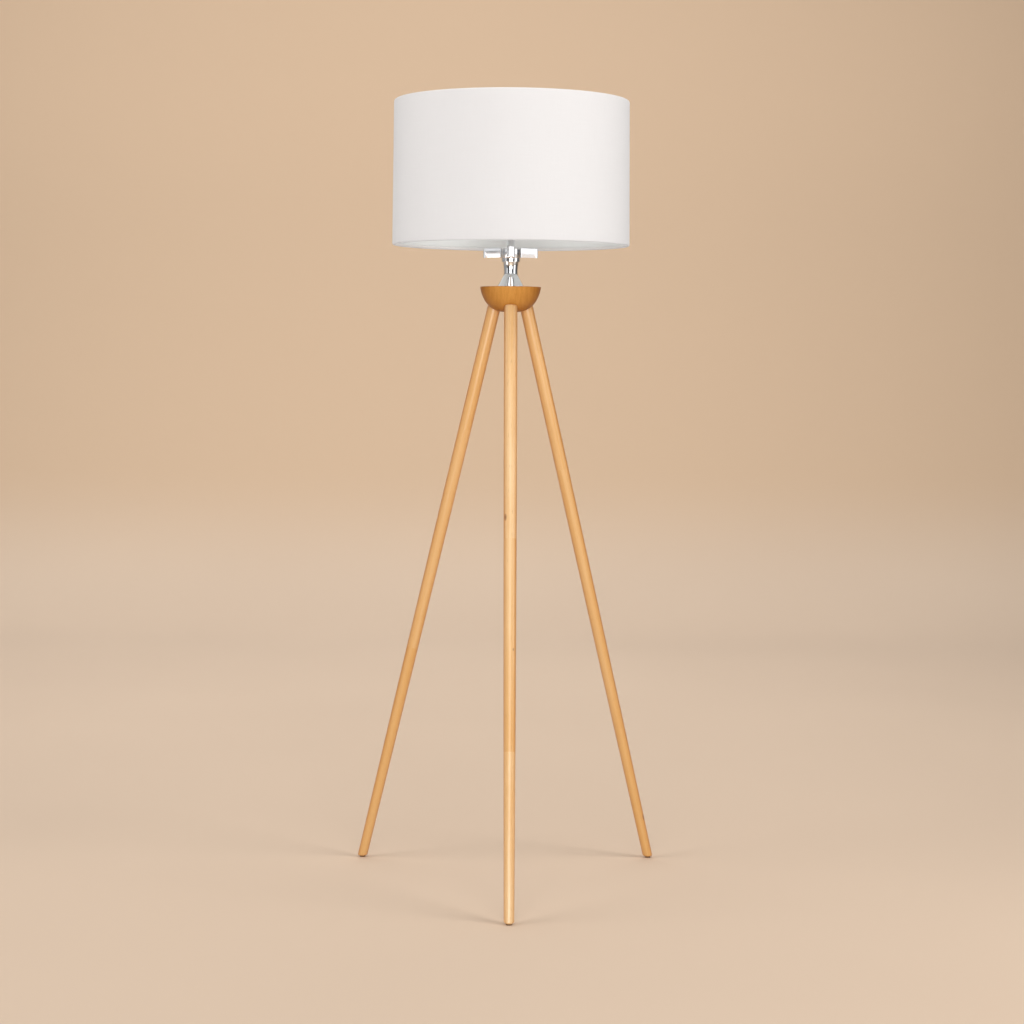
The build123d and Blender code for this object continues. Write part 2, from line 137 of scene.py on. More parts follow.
def weld(mesh, crease):
    """Joins coincident points, turns faces outwards and marks edges sharper than the crease angle."""
    shell = bmesh.new()
    shell.from_mesh(mesh)
    bmesh.ops.remove_doubles(shell, verts=shell.verts, dist=WELD_DISTANCE)
    bmesh.ops.dissolve_degenerate(shell, edges=shell.edges, dist=1e-7)
    bmesh.ops.recalc_face_normals(shell, faces=shell.faces)
    shell.to_mesh(mesh)
    shell.free()
    mesh.set_sharp_from_angle(angle=crease)


def turned(name, outline, columns=128, crease=0.7, ring=False):
    """Solid of revolution about the lamp's axis: (r cos a, r sin a, z) along an (r, z) outline.

    The UV map is in metres: arc length round the widest ring, and travel along the outline.
    """
    angle = np.linspace(0.0, 2.0 * math.pi, columns, endpoint=False)
    radius, height = outline[:, :1], outline[:, 1:]
    points = np.stack([radius * np.cos(angle), radius * np.sin(angle),
                       height + 0.0 * angle], axis=-1)
    closed = np.concatenate([outline, outline[:1]]) if ring else outline
    travel = np.concatenate([[0.0], np.cumsum(np.linalg.norm(np.diff(closed, axis=0), axis=1))])
    round_angle = np.linspace(0.0, 2.0 * math.pi, columns + 1)
    uv = np.stack(np.broadcast_arrays(outline[:, 0].max() * round_angle[None], travel[:, None]), -1)
    return surface(name, points, uv, ring=ring, crease=crease)


def stock_coordinates(piece, values):
    """Stores each vertex's place in the wood that the piece was cut from, for the grain."""
    mesh = piece.data
    layer = mesh.attributes.new("stock", "FLOAT_VECTOR", "POINT")
    layer.data.foreach_set("vector", values.astype(np.float32).ravel())


def vertex_array(piece):
    """All vertex places of a piece as one array."""
    flat = np.empty(len(piece.data.vertices) * 3, np.float32)
    piece.data.vertices.foreach_get("co", flat)
    return flat.reshape(-1, 3).astype(float)


seat = np.array([LEG_SEAT_RADIUS, 0.0, HUB_HIGH[2] - LEG_SEAT_DROP])
foot = np.array([FOOT_CIRCLE, 0.0, PAD_TOP])
LEG_LENGTH = float(np.linalg.norm(seat - foot))
leg_axis = (seat - foot) / LEG_LENGTH
leg_out = np.cross([0.0, 1.0, 0.0], leg_axis)
leg_side = np.array([0.0, 1.0, 0.0])


def leg_surface(name, azimuth):
    """Dowel along a leaning axis: foot + s axis + r(s) (out cos a + side sin a).

    The radius falls with the square of the way down from the top. Near the foot each ring is
    sheared along the axis until it lies level, because the foot is cut to stand flat; the shear
    fades out over a hand's width.
    """
    up = np.linspace(0.0, 1.0, 90)
    thickness = LEG_TOP_RADIUS - (LEG_TOP_RADIUS - LEG_FOOT_RADIUS) * (1.0 - up) ** 2
    side = np.stack([thickness, up * LEG_LENGTH], axis=1)
    foot_end = rounded([(0.0, 0.0), side[0], side[1]], [LEG_FOOT_ROUND], steps=10)
    top_end = rounded([side[-2], side[-1], (0.0, LEG_LENGTH)], [LEG_TOP_ROUND], steps=9)
    outline = np.concatenate([foot_end, side[2:-2], top_end])
    angle = np.linspace(0.0, 2.0 * math.pi, 64, endpoint=False)
    radius, travel = outline[:, :1], outline[:, 1:]
    cosine, sine = np.cos(angle)[None], np.sin(angle)[None]
    level = np.clip(1.0 - (travel - LEG_LEVEL_END) / LEG_LEVEL_FADE, 0.0, 1.0) ** 2
    lean = -radius * cosine * leg_out[2] / leg_axis[2] * level
    local = (travel + lean)[..., None] * leg_axis + (radius * cosine)[..., None] * leg_out
    local = local + (radius * sine)[..., None] * leg_side + foot
    turn = math.radians(azimuth)
    spin = np.array([[math.cos(turn), math.sin(turn), 0.0],
                     [-math.sin(turn), math.cos(turn), 0.0],
                     [0.0, 0.0, 1.0]])
    piece = surface(name, local @ spin, crease=1.0)
    stock = (vertex_array(piece) @ spin.T - foot) @ np.stack([leg_out, leg_side, leg_axis], axis=1)
    stock_coordinates(piece, stock)
    return piece


def new_material(name):
    """Empty node material with its output and principled shader."""
    material = bpy.data.materials.new(name)
    material.use_nodes = True
    nodes = material.node_tree.nodes
    return material, material.node_tree, nodes["Principled BSDF"]


def put(tree, kind, **settings):
    """Adds a node; settings name its properties, or its input sockets by name or number."""
    node = tree.nodes.new(kind)
    for key, value in settings.items():
        if key.startswith("in_"):
            socket = key[3:]
            node.inputs[int(socket) if socket.isdigit() else socket.replace("_", " ")].default_value = value
        else:
            setattr(node, key, value)
    return node


def join(tree, *pairs):
    """Links pairs of sockets."""
    for source, target in pairs:
        tree.links.new(source, target)


def maths(tree, operation, first, second=None, clamp=False):
    """Math node of one or two values, each a socket or a number; returns its output."""
    node = put(tree, "ShaderNodeMath", operation=operation, use_clamp=clamp)
    for socket, value in zip(node.inputs, (first, second)):
        if value is None:
            continue
        if isinstance(value, (int, float)):
            socket.default_value = value
        else:
            tree.links.new(value, socket)
    return node.outputs[0]


def blend_colour(tree, share, first, second, mode="MIX"):
    """Mixes two colours, each a socket or a value, by a share; returns the mixed colour."""
    node = put(tree, "ShaderNodeMix", data_type="RGBA", blend_type=mode)
    for socket, value in ((node.inputs[0], share), (node.inputs[6], first), (node.inputs[7], second)):
        if hasattr(value, "links"):
            tree.links.new(value, socket)
        elif isinstance(value, (int, float)):
            socket.default_value = value
        else:
            socket.default_value = (*value, 1.0)
    return node.outputs[2]


def group(name, inputs, outputs):
    """New shader node group with named sockets; returns the tree, its input and output nodes."""
    tree = bpy.data.node_groups.new(name, "ShaderNodeTree")
    for direction, sockets in (("INPUT", inputs), ("OUTPUT", outputs)):
        for label, (kind, value) in sockets.items():
            socket = tree.interface.new_socket(label, in_out=direction, socket_type="NodeSocket" + kind)
            if value is not None:
                socket.default_value = value
    return tree, tree.nodes.new("NodeGroupInput"), tree.nodes.new("NodeGroupOutput")


def place(tree, of_group):
    """Places a node group in a material."""
    node = tree.nodes.new("ShaderNodeGroup")
    node.node_tree = of_group
    return node


def stretched_noise(tree, vector, scale, **settings):
    """Noise read in coordinates multiplied by a scale for each axis."""
    stretch = put(tree, "ShaderNodeVectorMath", operation="MULTIPLY")
    stretch.inputs[1].default_value = scale
    noise = put(tree, "ShaderNodeTexNoise", in_Scale=1.0, **settings)
    join(tree, (vector, stretch.inputs[0]), (stretch.outputs[0], noise.inputs["Vector"]))
    return noise.outputs["Fac"]


def ranged(tree, value, low, high, to_low=0.0, to_high=1.0):
    """Value carried smoothly from one range to another."""
    node = put(tree, "ShaderNodeMapRange", interpolation_type="SMOOTHSTEP")
    for socket, number in zip(node.inputs[1:5], (low, high, to_low, to_high)):
        socket.default_value = number
    tree.links.new(value, node.inputs[0])
    return node.outputs[0]


# Grain of straight, fine-pored hardwood in stock coordinates, fibres along their third axis.
wood_grain, grain_in, grain_out = group(
    "wood_grain",
    {"Stock": ("Vector", None), "Pale": ("Color", (*LEG_PALE, 1.0)), "Deep": ("Color", (*LEG_DEEP, 1.0)),
     "Pore": ("Color", (*LEG_PORE, 1.0)), "Figure": ("Float", 0.5)},
    {"Color": ("Color", None), "Height": ("Float", None), "Roughness": ("Float", None)})
tree = wood_grain
drift = stretched_noise(tree, grain_in.outputs["Stock"], (3.0, 3.0, 2.2), in_Detail=2.0)
sway = put(tree, "ShaderNodeVectorMath", operation="MULTIPLY_ADD")
sway_vector = put(tree, "ShaderNodeCombineXYZ")
join(tree, (drift, sway_vector.inputs[0]), (drift, sway_vector.inputs[1]),
     (sway_vector.outputs[0], sway.inputs[0]), (grain_in.outputs["Stock"], sway.inputs[2]))
sway.inputs[1].default_value = (0.012, 0.009, 0.0)
bands = stretched_noise(tree, sway.outputs[0], (210.0, 70.0, 1.6), in_Detail=3.0, in_Roughness=0.55)
fibres = stretched_noise(tree, sway.outputs[0], (1500.0, 1500.0, 16.0), in_Detail=2.0)
pores = stretched_noise(tree, sway.outputs[0], (2600.0, 2600.0, 70.0), in_Detail=0.0)
cloud = stretched_noise(tree, grain_in.outputs["Stock"], (22.0, 22.0, 5.0), in_Detail=2.0)
band_share = ranged(tree, bands, 0.36, 0.66)
figure = maths(tree, "MULTIPLY", band_share, grain_in.outputs["Figure"])
fibre_share = ranged(tree, fibres, 0.35, 0.65, -0.14, 0.14)
cloud_share = ranged(tree, cloud, 0.3, 0.7, -0.12, 0.18)
share = maths(tree, "ADD", maths(tree, "ADD", figure, fibre_share), cloud_share, clamp=True)
pore_share = ranged(tree, pores, 0.66, 0.78, 0.0, 0.35)
tint = blend_colour(tree, share, grain_in.outputs["Pale"], grain_in.outputs["Deep"])
tint = blend_colour(tree, pore_share, tint, grain_in.outputs["Pore"])
height = maths(tree, "SUBTRACT", fibres, pore_share)
rough = ranged(tree, cloud, 0.3, 0.7, 0.30, 0.42)
join(tree, (tint, grain_out.inputs["Color"]), (height, grain_out.inputs["Height"]),
     (rough, grain_out.inputs["Roughness"]))

# Lengths of wood glued end to end: each joint shifts the grain and steps the tone.
jointed_stock, joint_in, joint_out = group(
    "jointed_stock",
    {"Stock": ("Vector", None), "Joint 1": ("Float", 0.3), "Joint 2": ("Float", 0.7),
     "Tone 1": ("Float", 0.0), "Tone 2": ("Float", 0.0), "Tone 3": ("Float", 0.0)},
    {"Stock": ("Vector", None), "Tone": ("Float", None)})
tree = jointed_stock
along = put(tree, "ShaderNodeSeparateXYZ")
join(tree, (joint_in.outputs["Stock"], along.inputs[0]))
past = [maths(tree, "GREATER_THAN", along.outputs[2], joint_in.outputs[label])
        for label in ("Joint 1", "Joint 2")]
steps = [maths(tree, "SUBTRACT", joint_in.outputs[f"Tone {n + 1}"], joint_in.outputs[f"Tone {n}"])
         for n in (1, 2)]
tone = maths(tree, "ADD", joint_in.outputs["Tone 1"], maths(tree, "MULTIPLY", past[0], steps[0]))
tone = maths(tree, "ADD", tone, maths(tree, "MULTIPLY", past[1], steps[1]))
count = maths(tree, "ADD", past[0], past[1])
shift = put(tree, "ShaderNodeVectorMath", operation="MULTIPLY_ADD")
shift_vector = put(tree, "ShaderNodeCombineXYZ")
join(tree, (count, shift_vector.inputs[0]), (count, shift_vector.inputs[1]), (count, shift_vector.inputs[2]),
     (shift_vector.outputs[0], shift.inputs[0]), (joint_in.outputs["Stock"], shift.inputs[2]),
     (shift.outputs[0], joint_out.inputs["Stock"]), (tone, joint_out.inputs["Tone"]))
shift.inputs[1].default_value = (0.173, 0.291, 0.437)

# Small dead knot: a dark speck, drawn out along the fibres.
pin_knot, knot_in, knot_out = group(
    "pin_knot",
    {"Stock": ("Vector", None), "Centre": ("Vector", None), "Size": ("Float", 0.003)},
    {"Mask": ("Float", None)})
tree = pin_knot
apart = put(tree, "ShaderNodeVectorMath", operation="SUBTRACT")
squeeze = put(tree, "ShaderNodeVectorMath", operation="MULTIPLY")
squeeze.inputs[1].default_value = (1.0, 1.0, 0.55)
reach = put(tree, "ShaderNodeVectorMath", operation="LENGTH")
join(tree, (knot_in.outputs["Stock"], apart.inputs[0]), (knot_in.outputs["Centre"], apart.inputs[1]),
     (apart.outputs[0], squeeze.inputs[0]), (squeeze.outputs[0], reach.inputs[0]))
away = maths(tree, "DIVIDE", reach.outputs["Value"], knot_in.outputs["Size"])
near = maths(tree, "SUBTRACT", 1.0, away, clamp=True)
join(tree, (maths(tree, "POWER", near, 0.6), knot_out.inputs["Mask"]))


def painted_edge_shade(tree, colour, edge):
    """Colour multiplied towards a darker tint as the surface turns away from the view: painted shade along
    the outline.
    """
    facing = put(tree, "ShaderNodeLayerWeight", in_Blend=0.5)
    return blend_colour(tree, facing.outputs["Facing"], colour, edge, mode="MULTIPLY")


def leg_finish(name, joints, tones, knots, offset):
    """Lacquered jointed hardwood with its own joints, tones and knots, and painted shade towards its outline.
    """
    material, tree, shader = new_material(name)
    stock = put(tree, "ShaderNodeAttribute", attribute_name="stock")
    lengths = place(tree, jointed_stock)
    for label, value in zip(("Joint 1", "Joint 2", "Tone 1", "Tone 2", "Tone 3"), joints + tones):
        lengths.inputs[label].default_value = value
    moved = put(tree, "ShaderNodeVectorMath", operation="ADD")
    moved.inputs[1].default_value = offset
    grain = place(tree, wood_grain)
    join(tree, (stock.outputs["Vector"], lengths.inputs["Stock"]),
         (lengths.outputs["Stock"], moved.inputs[0]),
         (moved.outputs[0], grain.inputs["Stock"]))
    tint = blend_colour(tree, lengths.outputs["Tone"], grain.outputs["Color"], LEG_DEEP)
    for centre, size in knots:
        knot = place(tree, pin_knot)
        knot.inputs["Centre"].default_value = centre
        knot.inputs["Size"].default_value = size
        join(tree, (stock.outputs["Vector"], knot.inputs["Stock"]))
        tint = blend_colour(tree, knot.outputs["Mask"], tint, LEG_PORE)
    # Painted shade: the leg's colour darkens towards its outline in every view.
    tint = painted_edge_shade(tree, tint, LEG_EDGE_SHADE)
    bump = put(tree, "ShaderNodeBump", in_Strength=0.12, in_Distance=0.0004)
    join(tree, (tint, shader.inputs["Base Color"]), (grain.outputs["Roughness"], shader.inputs["Roughness"]),
         (grain.outputs["Height"], bump.inputs["Height"]), (bump.outputs[0], shader.inputs["Normal"]))
    shader.inputs["Specular IOR Level"].default_value = 0.4
    shader.inputs["Coat Weight"].default_value = 0.8
    shader.inputs["Coat Roughness"].default_value = 0.32
    shader.inputs["Coat IOR"].default_value = 1.6
    return material


# Each leg's tone steps at its glued joints, the wood's own tone. The front leg is kept pale and the two rear
# legs are mixed far towards the deep colour: the front leg's paler stock is partly painted highlight, where
# the front lamps fall on it.
LEG_STOCK = {
    "front": dict(joints=(0.305, 0.697), tones=(0.0, 0.24, 0.02), offset=(0.0, 0.0, 0.0),
                  knots=[((0.008, -0.009, 0.737), 0.004), ((0.009, 0.006, 0.491), 0.002)]),
    "right": dict(joints=(0.28, 0.82), tones=(0.72, 0.58, 0.54), offset=(0.61, 0.23, 0.9),
                  knots=[((0.006, -0.009, 0.085), 0.0045)]),
    "left": dict(joints=(0.45, 0.90), tones=(0.74, 0.60, 0.54), offset=(0.27, 0.83, 1.7), knots=[]),
}
for side, azimuth in LEG_AZIMUTH.items():
    leg = leg_surface("leg_" + side + "_dowel", azimuth)
    leg.data.materials.append(leg_finish("lacquered_leg_" + side, **LEG_STOCK[side]))
    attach(leg, "stand")
    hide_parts("leg_" + side)


# Foot pads
# Three round glides of brown rubber, stuck under the level-cut ends of the legs.
PAD_BROWN = (0.235, 0.125, 0.052)

# Marks that handling leaves on any smooth finish: broad smears, fine specks, and a grainy height.
handling_marks, marks_in, marks_out = group(
    "handling_marks",
    {"Vector": ("Vector", None), "Scale": ("Float", 1.0), "Low": ("Float", 0.2), "High": ("Float", 0.3)},
    {"Roughness": ("Float", None), "Smear": ("Float", None), "Grain": ("Float", None)})
tree = handling_marks
scaled = put(tree, "ShaderNodeVectorMath", operation="SCALE")
join(tree, (marks_in.outputs["Vector"], scaled.inputs[0]),
     (marks_in.outputs["Scale"], scaled.inputs["Scale"]))
smear = stretched_noise(tree, scaled.outputs[0], (38.0, 38.0, 55.0), in_Detail=4.0, in_Roughness=0.62)
grain = stretched_noise(tree, scaled.outputs[0], (1400.0, 1400.0, 1400.0), in_Detail=1.0)
smear = ranged(tree, smear, 0.34, 0.68)
spread = maths(tree, "SUBTRACT", marks_in.outputs["High"], marks_in.outputs["Low"])
rough = maths(tree, "ADD", marks_in.outputs["Low"], maths(tree, "MULTIPLY", spread, smear))
join(tree, (rough, marks_out.inputs["Roughness"]), (smear, marks_out.inputs["Smear"]),
     (grain, marks_out.inputs["Grain"]))


def plain_finish(name, colour, tint, low, high, bump=0.05, metal=0.0, scale=1.0):
    """Even finish whose colour and gloss drift a little with handling, over a fine-grained surface."""
    material, tree, shader = new_material(name)
    spot = put(tree, "ShaderNodeTexCoord")
    marks = place(tree, handling_marks)
    for label, value in (("Scale", scale), ("Low", low), ("High", high)):
        marks.inputs[label].default_value = value
    shade = blend_colour(tree, marks.outputs["Smear"], colour, tint)
    relief = put(tree, "ShaderNodeBump", in_Strength=bump, in_Distance=0.0002)
    join(tree, (spot.outputs["Object"], marks.inputs["Vector"]), (shade, shader.inputs["Base Color"]),
         (marks.outputs["Roughness"], shader.inputs["Roughness"]),
         (marks.outputs["Grain"], relief.inputs["Height"]), (relief.outputs[0], shader.inputs["Normal"]))
    shader.inputs["Metallic"].default_value = metal
    return material


def dress(node, material):
    """Gives a CAD node that stays in view its finish."""
    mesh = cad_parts[node].data
    mesh.materials.clear()
    mesh.materials.append(material)


pad_rubber = plain_finish("pad_rubber", PAD_BROWN, (0.19, 0.098, 0.040), 0.66, 0.82, bump=0.3)
for side in LEG_AZIMUTH:
    dress("foot_pad_" + side, pad_rubber)


# Hanger bolts and inserts
# Each leg has a zinc-plated hanger bolt in its top end, which screws into a brass sleeve in the bowl.
plated_steel = plain_finish("plated_steel", (0.56, 0.57, 0.58), (0.66, 0.66, 0.65), 0.24, 0.38, metal=1.0)
plain_brass = plain_finish("plain_brass", (0.70, 0.50, 0.19), (0.76, 0.58, 0.27), 0.20, 0.36, metal=1.0)
dress("leg_studs", plated_steel)
dress("hub_inserts", plain_brass)


# Bowl
# A solid turned bowl of darker hardwood with a crisp rim, lacquered, that the three legs meet in.
# Its underside is recessed for the nut, and a hole for the threaded tube runs up its middle.
BOWL_TOP = float(HUB_HIGH[2])
BOWL_FLAT = (0.0117, BOWL_TOP - 0.0476)
BOWL_SHOULDER = (0.0490, BOWL_TOP - 0.0264)
BOWL_RIM = (0.0580, BOWL_TOP)
BOWL_RIM_ROUND = 0.0012
BOWL_RECESS_RADIUS = 0.0135
BOWL_RECESS_CEILING = BOWL_FLAT[1] + 0.012
TUBE_HOLE_RADIUS = 0.0053
BOWL_PALE = (0.72, 0.315, 0.064)
BOWL_DEEP = (0.565, 0.215, 0.034)
BOWL_PORE = (0.30, 0.100, 0.016)
# Tint that the bowl's colour is multiplied towards at its outline: painted shade.
BOWL_EDGE_SHADE = (0.42, 0.25, 0.06)


def tangent_arc(start, heading, end, steps=24):
    """Circle arc that leaves start along a heading and reaches end, and its heading there.

    With d the way to the end and n the heading turned by a right angle, the radius is
    d.d / (2 d.n) and the arc turns by twice the angle of d.n over d.heading.
    """
    start, end = np.array(start), np.array(end)
    heading = np.array(heading) / np.linalg.norm(heading)
    normal = np.array([-heading[1], heading[0]])
    way = end - start
    radius = (way @ way) / (2.0 * (way @ normal))
    turn = 2.0 * math.atan2(way @ normal, way @ heading)
    angle = np.linspace(0.0, turn, steps)[:, None]
    arc = start + radius * (np.sin(angle) * heading + (1.0 - np.cos(angle)) * normal)
    return arc, math.cos(turn) * heading + math.sin(turn) * normal


belly, heading = tangent_arc(BOWL_FLAT, (1.0, 0.0), BOWL_SHOULDER, 40)
flank, heading = tangent_arc(BOWL_SHOULDER, heading, BOWL_RIM, 20)
belly = belly[belly[:, 0] > BOWL_RECESS_RADIUS]
edge = rounded([flank[-2], BOWL_RIM, (TUBE_HOLE_RADIUS, BOWL_RIM[1])], [BOWL_RIM_ROUND], steps=8)
recess_foot = np.array([(BOWL_RECESS_RADIUS, belly[0, 1])])
recess = np.array([(TUBE_HOLE_RADIUS, BOWL_RECESS_CEILING), (BOWL_RECESS_RADIUS, BOWL_RECESS_CEILING)])
bowl_outline = np.concatenate([recess, recess_foot, belly, flank[1:-2], edge])
bowl = turned("bowl", finer(bowl_outline, 0.004), columns=160, ring=True, crease=0.6)
stock_coordinates(bowl, vertex_array(bowl) - np.array([0.0, 0.0, BOWL_FLAT[1]]))

bowl_finish, tree, shader = new_material("lacquered_bowl")
stock = put(tree, "ShaderNodeAttribute", attribute_name="stock")
grain = place(tree, wood_grain)
for label, colour in (("Pale", BOWL_PALE), ("Deep", BOWL_DEEP), ("Pore", BOWL_PORE)):
    grain.inputs[label].default_value = (*colour, 1.0)
grain.inputs["Figure"].default_value = 0.40
relief = put(tree, "ShaderNodeBump", in_Strength=0.10, in_Distance=0.0004)
# The bowl's colour darkens towards its outline: painted shade.
join(tree, (stock.outputs["Vector"], grain.inputs["Stock"]),
     (painted_edge_shade(tree, grain.outputs["Color"], BOWL_EDGE_SHADE), shader.inputs["Base Color"]),
     (grain.outputs["Roughness"], shader.inputs["Roughness"]),
     (grain.outputs["Height"], relief.inputs["Height"]),
     (relief.outputs[0], shader.inputs["Normal"]))
shader.inputs["Specular IOR Level"].default_value = 0.1
shader.inputs["Coat Weight"].default_value = 0.04
shader.inputs["Coat Roughness"].default_value = 0.25
bowl.data.materials.append(bowl_finish)
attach(bowl, "stand")
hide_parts("hub")


# Threaded tube, its washer, nuts and cord bush
# A plated steel tube runs through the whole stack and is nutted below the bowl and in the lampholder.
# A smooth black bush lines its lower mouth, where a cord would come in.
bush_plastic = plain_finish("bush_plastic", (0.018, 0.018, 0.019), (0.028, 0.028, 0.028), 0.34, 0.48)
for node in ("threaded_rod", "rod_washer", "rod_nut", "lampholder_nut"):
    dress(node, plated_steel)
dress("cord_bush", bush_plastic)


# Neck
# A thin chromed trumpet that stands on the bowl: a straight flare, a slim waist and a small upper flare.
NECK_FOOT, NECK_TOP = (float(corner[2]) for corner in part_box("neck"))
NECK_BASE_RADIUS = 0.0256
NECK_LIP = 0.0012
NECK_FLARE = 0.0220
NECK_FLARE_ROUND = 0.020
NECK_WAIST = 0.0070
NECK_WAIST_RADIUS = 0.0133
NECK_TOP_RADIUS = 0.0154
NECK_WALL = 0.0018
CHROME = (0.80, 0.81, 0.83)

waist_low = (NECK_WAIST_RADIUS, NECK_FOOT + NECK_FLARE)
waist_high = (NECK_WAIST_RADIUS, NECK_FOOT + NECK_FLARE + NECK_WAIST)
base = [(NECK_BASE_RADIUS, NECK_FOOT), (NECK_BASE_RADIUS, NECK_FOOT + NECK_LIP)]
lower = rounded([*base, waist_low, waist_high], [0.0005, NECK_FLARE_ROUND], steps=18)
upper, heading = tangent_arc(waist_high, (0.0, 1.0), (NECK_TOP_RADIUS, NECK_TOP), 20)
skin = finer(np.concatenate([lower, upper[1:]]), 0.002)
neck = turned("chrome_neck", np.concatenate([skin, skin[::-1] - np.array([NECK_WALL, 0.0])]), columns=160,
              ring=True, crease=0.5)
chrome = plain_finish("polished_chrome", CHROME, (0.84, 0.85, 0.86), 0.030, 0.065, bump=0.004, metal=1.0)
neck.data.materials.append(chrome)
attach(neck, "stand")
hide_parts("neck")


# Star collar
# A chromed casting with one arm over each leg, its lower flanks bevelled, clamped between neck and tube.
ARM_EDGE = 0.00035


def eased_copy(name, node, edge_round, crease=0.5):
    """Copy of a CAD node with its triangles joined, flat faces made whole and its edges eased.

    Edges that turn by more than the crease angle stay sharp; the others are shaded smooth.
    """
    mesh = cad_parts[node].data.copy()
    mesh.name = name
    shell = bmesh.new()
    shell.from_mesh(mesh)
    bmesh.ops.remove_doubles(shell, verts=shell.verts, dist=WELD_DISTANCE)
    bmesh.ops.dissolve_limit(shell, angle_limit=0.0015, verts=shell.verts, edges=shell.edges)
    shell.to_mesh(mesh)
    shell.free()
    mesh.polygons.foreach_set("use_smooth", np.ones(len(mesh.polygons), bool))
    mesh.set_sharp_from_angle(angle=crease)
    piece = bpy.data.objects.new(name, mesh)
    bpy.context.scene.collection.objects.link(piece)
    if edge_round > 0.0:
        ease = piece.modifiers.new("eased_edges", "BEVEL")
        ease.width = edge_round
        ease.segments = 2
        ease.limit_method = "ANGLE"
        ease.angle_limit = 0.6
        ease.harden_normals = True
    return piece


collar = eased_copy("chrome_star_collar", "star_collar", ARM_EDGE, crease=0.22)
satin_chrome = plain_finish("satin_chrome", (0.85, 0.855, 0.875), (0.88, 0.885, 0.90), 0.14, 0.22,
                            bump=0.01, metal=1.0)
collar.data.materials.clear()
collar.data.materials.append(satin_chrome)
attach(collar, "stand")
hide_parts("star_collar")


# Stem tube
# A short chromed tube that spaces the lampholder above the collar.
STEM_LOW, STEM_HIGH = (np.array(corner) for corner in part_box("stem_tube"))
STEM_RADIUS = float(STEM_HIGH[0])
STEM_EDGE = 0.0004
stem_corners = [(TUBE_HOLE_RADIUS, STEM_LOW[2]), (STEM_RADIUS, STEM_LOW[2]), (STEM_RADIUS, STEM_HIGH[2]),
                (TUBE_HOLE_RADIUS, STEM_HIGH[2])]
stem = turned("chrome_stem_tube", finer(rounded(stem_corners, [STEM_EDGE, STEM_EDGE]), 0.004), ring=True)
stem.data.materials.append(chrome)
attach(stem, "stand")
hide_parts("stem_tube")


# Lampholder
# A moulded white holder: a domed cap on the tube, and a skirt with an outer thread for the shade's rings.
# Inside sit a ceramic core, a brass screw shell, a sprung contact and two terminal screws.
SKIRT_LOW, SKIRT_HIGH = (np.array(corner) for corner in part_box("lampholder_skirt"))
SKIRT_RADIUS = float(SKIRT_HIGH[0])
SKIRT_BORE = 0.0172
SKIRT_MOUTH = 0.0156
SKIRT_LIP = 0.0025
SKIRT_PITCH = 0.0025
SKIRT_THREAD = 0.0006
SKIRT_THREAD_ENDS = (0.001, 0.002)
HOLDER_WHITE = (0.74, 0.73, 0.69)


def threaded(name, outline, low, high, pitch, depth, columns=96):
    """Ring turned from a closed outline whose outer wall carries a right-hand thread.

    Between two heights the wall is drawn in by depth times half of (1 + cos) of the turn count
    height / pitch - angle / 360, and the thread runs out over one pitch at each end.
    """
    angle = np.linspace(0.0, 2.0 * math.pi, columns, endpoint=False)
    radius, height = outline[:, :1], outline[:, 1:]
    count = height / pitch - angle / (2.0 * math.pi)
    run_out = np.clip(np.minimum(height - low, high - height) / pitch, 0.0, 1.0)
    outer = radius > outline[:, 0].max() - 1e-6
    cut = np.where(outer, depth * run_out * (0.5 + 0.5 * np.cos(2.0 * math.pi * count)), 0.0)
    radius = radius - cut
    points = np.stack([radius * np.cos(angle), radius * np.sin(angle), height + 0.0 * angle], axis=-1)
    return surface(name, points, ring=True, crease=0.9)


skirt_corners = [(SKIRT_BORE, SKIRT_LOW[2]), (SKIRT_RADIUS, SKIRT_LOW[2]), (SKIRT_RADIUS, SKIRT_HIGH[2]),
                 (SKIRT_MOUTH, SKIRT_HIGH[2]), (SKIRT_MOUTH, SKIRT_HIGH[2] - SKIRT_LIP),
                 (SKIRT_BORE, SKIRT_HIGH[2] - SKIRT_LIP)]
skirt_outline = finer(rounded(skirt_corners, [0.0003, 0.0006, 0.0004, 0.0002], steps=4), SKIRT_PITCH / 10.0)
skirt = threaded("lampholder_threaded_skirt", skirt_outline, SKIRT_LOW[2] + SKIRT_THREAD_ENDS[0],
                 SKIRT_HIGH[2] - SKIRT_THREAD_ENDS[1], SKIRT_PITCH, SKIRT_THREAD)
holder_plastic = plain_finish("holder_plastic", HOLDER_WHITE, (0.70, 0.685, 0.64), 0.30, 0.44, bump=0.06)
skirt.data.materials.append(holder_plastic)
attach(skirt, "stand")
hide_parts("lampholder_skirt")
cap = eased_copy("lampholder_domed_cap", "lampholder_cap", 0.0)
cap.data.materials.clear()
cap.data.materials.append(holder_plastic)
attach(cap, "stand")
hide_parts("lampholder_cap")
core_ceramic = plain_finish("core_ceramic", (0.68, 0.66, 0.61), (0.60, 0.575, 0.52), 0.55, 0.75, bump=0.2)
dress("lampholder_core", core_ceramic)
for node in ("screw_shell", "centre_contact"):
    dress(node, plain_brass)
dress("terminal_screws", plated_steel)


# Clamp rings
# Two fluted rings of the same plastic, screwed on the skirt below and above the shade's washer.
for place_name in ("lower", "upper"):
    ring = eased_copy("clamp_ring_" + place_name, "shade_ring_" + place_name, 0.0)
    ring.data.materials.clear()
    ring.data.materials.append(holder_plastic)
    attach(ring, "stand")
    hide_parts("shade_ring_" + place_name)


